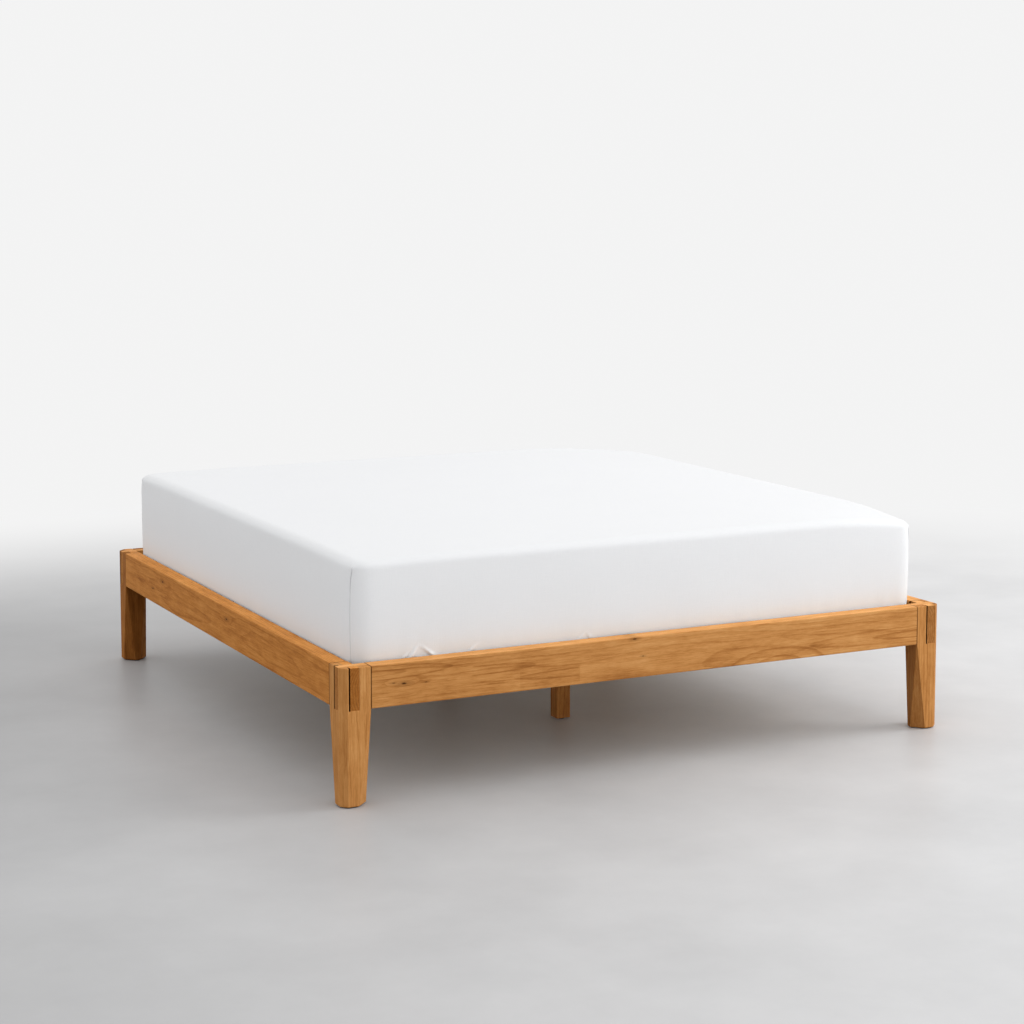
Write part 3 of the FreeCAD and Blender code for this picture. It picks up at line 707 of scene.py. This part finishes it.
def bed_section(start):
    """The section of the bedding as set-in and height, in steps of a millimetre: out under the bed, round the
    bottom edge, up the swelling side, over the rounded top edge and on to the top."""
    edge_tuck, edge_rise, side_swell, widest = 0.028, 0.032, 0.003, bed_high * 0.60
    shoulder_set_in, shoulder_drop, shoulder_run, step = 0.001, 0.021, 1.8, 0.001
    top = bed_high - top_crown
    shoulder = top - shoulder_drop
    s = np.linspace(0, 1, 120)
    turn = s * math.pi / 2
    lean = math.atan(2 * (shoulder_set_in + side_swell) / (shoulder - widest))
    radius = shoulder_drop / (1 - math.sin(lean))
    bend = lean + s * (math.pi / 2 - lean)
    inset = [[0.5], edge_tuck * (1 - np.sin(turn)), -side_swell * s * (2 - s),
             (shoulder_set_in + side_swell) * s * s - side_swell,
             shoulder_set_in + shoulder_run * radius * (math.cos(lean) - np.cos(bend)), [0.5]]
    height = [[0.0], edge_rise * (1 - np.cos(turn)), edge_rise + (widest - edge_rise) * s,
              widest + (shoulder - widest) * s, shoulder + radius * (np.sin(bend) - math.sin(lean)), [top]]
    line = np.stack([np.concatenate(inset), np.concatenate(height)], axis=1)
    line = line[np.concatenate([[True], np.linalg.norm(np.diff(line, axis=0), axis=1) > 1e-9])]
    line = spaced(line, np.full(len(line), step))
    line = np.stack([softened(line[:, 0], 5.0), softened(line[:, 1], 5.0)], axis=1)
    return line[line[:, 0] < np.where(line[:, 1] < bed_high / 2, start, top_edge)]


def moved_in(line, depth):
    """The section moved inwards, square to itself."""
    run = np.gradient(line, axis=0)
    run /= np.linalg.norm(run, axis=1)[:, None]
    return line + np.stack([run[:, 1], -run[:, 0]], axis=1) * depth


def bed_outline(inset, sides, arcs, radius):
    """A level outline of the bedding, with places from 0 to 1 along each side and each corner arc. It starts
    at the left of the foot and goes round by the right."""
    x, y = bed_wide - inset, bed_long - inset
    r = max(radius - inset, corner_least)
    corners = [(-x + r, -y + r), (x - r, -y + r), (x - r, y - r), (-x + r, y - r)]
    points = []
    for k in range(4):
        start, stop = Vector(corners[k]), Vector(corners[(k + 1) % 4])
        angle = -math.pi / 2 + k * math.pi / 2
        out = Vector((math.cos(angle), math.sin(angle)))
        points.extend(start.lerp(stop, t) + out * r for t in sides[k][:-1])
        for t in arcs[k][:-1]:
            turn = angle + t * math.pi / 2
            points.append(stop + Vector((math.cos(turn), math.sin(turn))) * r)
    return np.array(points)


def eased_loop(loop, width, step=0.002):
    """A closed loop of points with its bends softened, its points kept at the same places along it."""
    closed = np.vstack([loop, loop[:1]])
    place = run_along(closed)
    at = np.linspace(0, place[-1], int(place[-1] / step) + 1)[:-1]
    reach = int(3 * width / step)
    eased = []
    for i in (0, 1):
        values = np.interp(at, place, closed[:, i])
        values = np.concatenate([values[-reach:], values, values[:reach]])
        values = softened(values, width / step)[reach:-reach]
        eased.append(np.interp(place[:-1], np.append(at, place[-1]), np.append(values, values[0])))
    return np.stack(eased, axis=1)


def bed_crown(x, y):
    """How far the crowned top stands above the end of its rounded edge."""
    from_side, from_end = bed_wide - top_edge - np.abs(x), bed_long - top_edge - np.abs(y)
    return top_crown * smooth(unit(from_side / crown_run)) * smooth(unit(from_end / crown_run))


def filled_top(ring, nx, ny):
    """The grid inside a closed ring that starts at its left foot corner."""
    foot, right = ring[:nx + 1], ring[nx:nx + ny + 1]
    head, left = ring[nx + ny:2 * nx + ny + 1][::-1], np.vstack([ring[2 * nx + ny:], ring[:1]])[::-1]
    u = np.linspace(0, 1, nx + 1)[:, None, None]
    v = np.linspace(0, 1, ny + 1)[None, :, None]
    grid = (1 - v) * foot[:, None] + v * head[:, None] + (1 - u) * left[None] + u * right[None]
    grid -= (1 - u) * (1 - v) * foot[0] + u * (1 - v) * foot[-1] + (1 - u) * v * head[0] + u * v * head[-1]
    return grid


def bed_skin(profile, sides, arcs, radius):
    """Points and faces of a skin on the bedding: rings along the profile, and a grid that closes the top."""
    rings = []
    for inset, z in profile:
        flat = eased_loop(bed_outline(inset, sides, arcs, radius), 0.015)
        rings.append(np.column_stack([flat, np.full(len(flat), slat_top + z)]))
    count, k = len(rings[0]), len(arcs[0]) - 1
    nx, ny = len(sides[0]) - 1 + k, len(sides[1]) - 1 + k
    rings = [np.roll(ring, k // 2, axis=0) for ring in rings]
    grid = filled_top(rings[-1], nx, ny)
    grid[..., 2] += bed_crown(grid[..., 0], grid[..., 1])
    points = np.vstack(rings + [grid[1:-1, 1:-1].reshape(-1, 3)])
    to_corner = np.hypot(bed_wide - np.abs(points[:, 0]), bed_long - np.abs(points[:, 1]))
    high_up = unit((points[:, 2] - slat_top - bed_high) / droop_high + 1.0)
    droop = np.where(points[:, 0] < 0, droop_left, droop_right)
    points[:, 2] -= droop * bell(to_corner, droop_reach) * smooth(high_up)
    faces = bands(len(rings), count)
    last, first_inner = (len(rings) - 1) * count, len(rings) * count

    def index(i, j):
        if j == 0:
            return last + i
        if i == nx:
            return last + nx + j
        if j == ny:
            return last + nx + ny + (nx - i)
        if i == 0:
            return last + (2 * nx + 2 * ny - j)
        return first_inner + (i - 1) * (ny - 1) + (j - 1)

    for i in range(nx):
        for j in range(ny):
            faces.append((index(i, j), index(i + 1, j), index(i + 1, j + 1), index(i, j + 1)))
    return points, faces, count


ticking, tree, shader = finish_named("knit_ticking")
feeds = {"Vector": own_place(tree), "Scale": 62.0, "Randomness": 0.0}
spots = fade(join("TexVoronoi", feeds).outputs[0], 0.10, 0.16)
knit = own_noise(tree, 1500.0, 2.0)
cloth = ramp(knit, [(0.3, (0.56, 0.555, 0.54)), (0.7, (0.72, 0.715, 0.70))])
cloth = tint(spots, cloth, (0.30, 0.30, 0.31))
fill(shader, {"Base Color": cloth, "Roughness": 0.9, "Sheen Weight": 0.2})
emboss(shader, calc("ADD", knit, spots), 0.35, 0.0008)
foam_line = bed_section(hem_reach)
foam_line = moved_in(spaced(foam_line, np.full(len(foam_line), 0.012)), foam_skin)
sag = [(hem_reach + 0.030, 0.0004), (hem_reach + 0.016, 0.0004), (hem_reach + 0.006, 0.0026)]
even = np.linspace(0, 1, 61)
foam, foam_faces, foam_ring = bed_skin(sag + foam_line.tolist(), [even] * 4, [np.linspace(0, 1, 13)] * 4,
                                       corner_radius + 0.015)
mesh = bpy.data.meshes.new("mattress_foam")
mesh.from_pydata(foam.tolist(), [], foam_faces + [tuple(range(foam_ring))[::-1]])
mesh.shade_smooth()
mesh.materials.append(ticking)
show("mattress_foam", mesh, "mattress", "mattress_ticking", "mattress")

# Fitted sheet
# White cotton in a fine plain weave, cut as one cross-shaped piece and sewn up at its four corners. It is
# pulled over the mattress and held by an elastic hem underneath, so it lies smooth and puckers only near the
# rails.


def cotton():
    """The cloth follows its flat cut. Two point attributes carry painted light: painted shade along the
    seams, and near the wood a cooler white that offsets the warm light bounced from the rails.
    """
    material, tree, shader = finish_named("white_cotton")
    flat = put(tree, "UVMap", {}, uv_map="cut").outputs[0]
    split = join("SeparateXYZ", {0: flat}).outputs

    def threads(run, turn, seed):
        parts = {0: times(split[0], run), 1: times(split[1], turn)}
        return speckle(join("CombineXYZ", parts).outputs[0], seed, detail=2.0)

    warp, weft = threads(18.0, 520.0, 1.0), threads(520.0, 18.0, 2.0)
    fine = calc("ADD", threads(160.0, 2400.0, 3.0), threads(2400.0, 160.0, 4.0))
    weave = summed(calc("ADD", warp, weft), (fine, 0.7))
    shade = summed(0.5, (threads(5.0, 5.0, 5.0), 0.06), (weave, 0.18))
    white = ramp(shade, [(0.3, (0.786, 0.794, 0.812)), (0.7, (0.880, 0.886, 0.894))])
    seam, low = (put(tree, "Attribute", {}, attribute_name=key).outputs["Fac"]
                 for key in ("seam_shade_line", "rail_bounce_offset"))
    # painted shade along the seams
    white = tint(times(seam, 0.7), white, (0.22, 0.225, 0.24))
    # near the rails the white is painted cooler to offset the warm light bounced from the wood
    white = tint(low, white, (0.93, 0.98, 1.0), "MULTIPLY")
    fill(shader, {"Base Color": white, "Roughness": 0.88, "Specular IOR Level": 0.25, "Sheen Weight": 0.12,
                  "Sheen Roughness": 0.5})
    emboss(shader, weave, 0.28, 0.0009)
    return material


def crowded(count, places, width, gain):
    """Places from 0 to 1 that stand closer together near some of them."""
    fine = np.linspace(0, 1, 8001)
    weight = 1.0 + sum(gain * bell(fine - p, width) for p in places)
    total = np.concatenate([[0], np.cumsum((weight[1:] + weight[:-1]) / 2)])
    return np.interp(np.linspace(0, 1, count + 1), total / total[-1], fine)


rail_line = rail_top - slat_top
line = bed_section(hem_reach - 0.010)
high = line[:, 1]
gaps = np.where(high < 0.002, 0.010, 0.005)
gaps[high > rail_line - 0.006] = 0.0032
gaps[high > rail_line + 0.060] = 0.0095
gaps[high > bed_high - top_crown - 0.050] = 0.0045
line = moved_in(spaced(line, softened(gaps, 9.0)), sheet_skin)
fold = [(hem_reach - 0.010, 0.0025), (hem_reach - 0.0045, 0.0026), (hem_reach - 0.0012, 0.0024),
        (hem_reach, 0.0018), (hem_reach - 0.0012, 0.0011), (hem_reach - 0.0045, 0.0009)]
profile = np.vstack([fold, line])

# the puckers that show above the rail: place along the foot, height, depth and lean
puckers = [(-0.812, 0.016, 0.0045, 1.0), (-0.790, 0.038, 0.0080, 0.75), (-0.722, 0.036, 0.0075, -1.2),
           (-0.603, 0.024, 0.0045, 1.2), (-0.246, 0.024, 0.0030, 1.0), (-0.211, 0.020, 0.0026, -0.5)]
half_foot = bed_wide - corner_radius
foot_line = crowded(200, [(p[0] + half_foot) / (2 * half_foot) for p in puckers], 0.013, 4.0)
side_line = crowded(110, (0.0, 1.0), 0.1, 0.8)
seam_angle, arc_count = math.radians(26.0), 28
toward_side = crowded(arc_count, (1 - seam_angle / (math.pi / 2),), 0.12, 6.0)
toward_end = crowded(arc_count, (seam_angle / (math.pi / 2),), 0.12, 6.0)
cloth, cloth_faces, ring_count = bed_skin(profile, [foot_line, side_line, (1 - foot_line)[::-1], side_line],
                                          [toward_side, toward_end, toward_side, toward_end], corner_radius)
mesh = bpy.data.meshes.new("fitted_sheet_cotton")
mesh.from_pydata(cloth.tolist(), [], cloth_faces)
mesh.update()
normals = np.zeros(len(cloth) * 3, np.float32)
mesh.vertices.foreach_get("normal", normals)
normals = normals.reshape(-1, 3).astype(float)

x, y, z = cloth[:, 0], cloth[:, 1], cloth[:, 2]
ring_of = np.minimum(np.arange(len(cloth)) // ring_count, len(profile))
last_ring = np.minimum(ring_of, len(profile) - 1)
ring_place = run_along(profile)
top_start = ring_place[-1]
travel = ring_place[last_ring]
height, rise = z - slat_top, z - rail_top
shown = unit((rise + 0.007) / 0.010)
on_side = shown * unit((bed_high - 0.012 - height) / 0.05)
corner_x, corner_y = bed_wide - np.abs(x), bed_long - np.abs(y)

# broad softness of the sides and the top
lift = on_side * 0.0014 * np.sin(5.3 * x + 1.1) * np.sin(4.1 * y + 0.6)
lift += on_side * 0.0006 * np.sin(17.0 * x + 9.0 * z) * np.sin(15.0 * y - 7.0 * z + 0.8)
lift += unit(np.minimum(corner_x, corner_y) / 0.25) * 0.0014 * np.sin(3.7 * x + 0.7) * np.sin(3.1 * y - 0.4)

# slight ripples where the sides are pulled under, stronger towards the corners
near_corner = np.exp(-np.maximum(corner_x, corner_y) / 0.22)
low_down = np.exp(-unit(rise) / 0.045) * shown
along = np.where(corner_y < corner_x, x, y)
wave = np.sin(along * 96.0 + 5.0 * z) * (0.6 + 0.4 * np.sin(along * 23.0))
lift += low_down * (0.0004 + 0.0012 * near_corner) * wave

# each pucker has a steep left flank, a long right one, and a top that thins out upwards
for pucker_x, tall, deep, lean in puckers:
    off = x - pucker_x - lean * rise
    left_over = unit(1 - rise / tall)
    flank = np.where(off < 0, bell(off, 0.0034), bell(off, 0.011 * (0.5 + 0.5 * left_over)))
    hollow = 0.30 * bell(off + 0.0075, 0.0045)
    lift += deep * (flank - hollow) * left_over ** 1.3 * unit(1 + rise / 0.012) * (y < -bed_long + 0.03)

# corner seams: the two cut edges are sewn together inside, which leaves a thin ridge between two hollows
seam_painted_shade = np.zeros(len(cloth))
for cx, cy in ((-1, -1), (-1, 1), (1, -1), (1, 1)):
    corner_top = bed_high - (droop_left if cx < 0 else droop_right)
    out_x, out_y = cx * x - (bed_wide - corner_radius), cy * y - (bed_long - corner_radius)
    at_corner = (out_x > -0.05) & (out_y > -0.05)
    upper = unit((height - (corner_top - 0.10)) / 0.08)
    angle = seam_angle + math.radians(5.0) * upper * upper
    aside = (np.arctan2(out_y, out_x) - angle) * np.hypot(out_x, out_y) + 0.0015 * np.sin(height * 16.0)
    down = unit((corner_top - 0.018 - height) / 0.018)
    pinch = bell(height - (corner_top - 0.055), 0.035)
    seam = (0.0016 + 0.0024 * pinch) * bell(aside, 0.0024)
    seam -= 0.0010 * bell(aside - 0.010, 0.016) + 0.0010 * bell(aside + 0.008, 0.010)
    tip = np.hypot(aside, height - (corner_top - 0.024))
    lift += at_corner * shown * (down * seam + 0.0035 * bell(tip, 0.0055))
    # painted shade: a thin dark line beside each seam ridge, stronger higher up
    seam_painted_shade += at_corner * down * (0.45 + 0.55 * upper) * bell(aside - 0.0014, 0.0011)

lift = np.clip(lift, -0.0032, 0.0090) * shown
cloth = cloth + normals * lift[:, None]

# the gathers of the elastic hem under the mattress
hem_share = unit(1 - (hem_reach - profile[last_ring, 0]) / (hem_reach * 0.3))
hem_share = hem_share * (height < 0.004) * (ring_of < len(profile))
phase = np.where(np.abs(y) > bed_long - hem_reach - 0.02, x, y)
gather = 0.5 + 0.5 * np.sin(phase * 2 * math.pi / 0.021 + 1.7 * np.sin(phase * 31.0))
cloth[:, 2] += hem_share * 0.0009 * gather
mesh.vertices.foreach_set("co", cloth.astype(np.float32).ravel())
mesh.update()
mesh.shade_smooth()

# where each point lay in the flat cut: straight out from the nearest top edge
flat_x = np.clip(x, -bed_wide + top_edge, bed_wide - top_edge)
flat_y = np.clip(y, -bed_long + top_edge, bed_long - top_edge)
far = np.stack([x - flat_x, y - flat_y], axis=1)
size = np.linalg.norm(far, axis=1)
size[size < 1e-9] = 1.0
out = (top_start - travel)[:, None] * far / size[:, None]
side_way = np.where(corner_x < corner_y, np.sign(x), 0)
end_way = np.where(corner_y <= corner_x, np.sign(y), 0)
under_side = height < 0.004
out[under_side] = ((top_start - travel)[:, None] * np.stack([side_way, end_way], axis=1))[under_side]
cut = np.stack([flat_x, flat_y], axis=1) + out
corner_of = np.zeros(len(mesh.loops), np.int32)
mesh.loops.foreach_get("vertex_index", corner_of)
mesh.uv_layers.new(name="cut").data.foreach_set("uv", cut[corner_of].astype(np.float32).ravel())
# the seam's painted shade, and the cooler offset against the wood's bounce light near the rails
for name, values in (("seam_shade_line", seam_painted_shade), ("rail_bounce_offset", np.exp(-unit(rise) / 0.050))):
    mesh.attributes.new(name, "FLOAT", "POINT").data.foreach_set("value", values.astype(np.float32))
mesh.materials.append(cotton())
sheet = show("fitted_sheet_cotton", mesh, "mattress", "sheet_cotton", "fitted_sheet")

# Studio
# A pale floor, painted darker towards the left and lighter towards the right as painted light, that runs out
# into a white background, lit by an even white sky, a wide soft panel on the right like a window, a weaker
# one in front and a faint one on the left. The camera stands where the picture was taken from.


def looked_at(tree):
    """One for what the camera sees, straight, mirrored or through glass, and nought for falling light."""
    rays = put(tree, "LightPath", {}).outputs
    plain = calc("MAXIMUM", rays["Is Camera Ray"], rays["Is Glossy Ray"])
    return calc("MAXIMUM", plain, rays["Is Transmission Ray"])


def panel(name, place, aim, size, watts):
    lamp = bpy.data.lights.new(name, "AREA")
    lamp.shape, lamp.size, lamp.energy = "SQUARE", size, watts
    holder = bpy.data.objects.new(name, lamp)
    holder.location = place
    holder.rotation_euler = (Vector(aim) - Vector(place)).to_track_quat("-Z", "Y").to_euler()
    bpy.context.scene.collection.objects.link(holder)
    holder.visible_camera = False


floor_reach, floor_corners, backdrop = 60.0, 96, (0.90, 0.90, 0.90)
floor_mesh = bpy.data.meshes.new("floor")
turns = np.linspace(0.0, 2 * math.pi, floor_corners + 1)[:-1]
floor_rim = [(floor_reach * math.cos(a), floor_reach * math.sin(a), 0.0) for a in turns]
floor_mesh.from_pydata(floor_rim, [], [tuple(range(floor_corners))])
floor_look, tree, shader = finish_named("pale_floor")
place = own_place(tree)
greys = [(0.3, (0.545, 0.545, 0.55)), (0.7, (0.625, 0.625, 0.63))]
grey = ramp(own_noise(tree, 1.7, 7.0, Roughness=0.62), greys)
# painted light: the floor's colour runs from painted shade on the left to paler on the right
feeds = {0: place, 1: (0.895, -0.446, 0.0)}
across = join("VectorMath", feeds, operation="DOT_PRODUCT").outputs["Value"]
across = join("MapRange", {0: across, 1: -1.94, 2: 0.86, 3: 0.72, 4: 1.09}).outputs[0]
shade = tint(1.0, grey, across, "MULTIPLY")
fill(shader, {"Base Color": shade, "Roughness": 0.42, "Specular IOR Level": 0.18})
feeds = {0: place, 1: (-0.6, -2.2, 0.0)}
away = join("VectorMath", feeds, operation="DISTANCE").outputs["Value"]
faded = times(looked_at(tree), ease(away, 3.9, 6.6))
white = put(tree, "Emission", {0: backdrop, 1: 1.0})
mixed = join("MixShader", {0: faded, 1: shader.outputs[0], 2: white.outputs[0]})
fill(tree.nodes["Material Output"], {0: mixed.outputs[0]})
floor_mesh.materials.append(floor_look)
floor = bpy.data.objects.new("floor", floor_mesh)
bpy.context.scene.collection.objects.link(floor)

world = bpy.data.worlds.new("studio")
bpy.context.scene.world = world
world.use_nodes = True
tree = world.node_tree
tree.nodes.clear()
sky = put(tree, "Background", {0: (1.0, 1.0, 1.0), 1: 0.918})
seen = put(tree, "Background", {0: backdrop, 1: 1.0})
mixed = join("MixShader", {0: looked_at(tree), 1: sky.outputs[0], 2: seen.outputs[0]})
join("OutputWorld", {0: mixed.outputs[0]})

panel("window_panel", (5.6, -2.2, 3.0), (0.0, 0.0, 0.3), 3.0, 140.0)
panel("front_fill", (3.4, -7.0, 3.0), (0.0, 0.0, 0.4), 3.8, 55.0)
panel("left_fill", (-5.5, 3.0, 2.6), (0.0, 0.0, 0.4), 4.0, 13.0)

picture, focal, middle_row, pitch, yaw = 1024.0, 2204.0, 400.0, -6.01, -26.47  # pixels and degrees
lens = bpy.data.cameras.new("photo_camera")
lens.sensor_fit, lens.sensor_width = "HORIZONTAL", 36.0
lens.lens = focal * lens.sensor_width / picture
lens.shift_y = (middle_row - picture / 2) / picture
camera = bpy.data.objects.new("photo_camera", lens)
camera.location = (-3.263, -6.631, 1.775)
camera.rotation_euler = (math.radians(90.0 + pitch), 0.0, math.radians(yaw))
bpy.context.scene.collection.objects.link(camera)
bpy.context.scene.camera = camera
bpy.context.scene.view_settings.view_transform = "Standard"
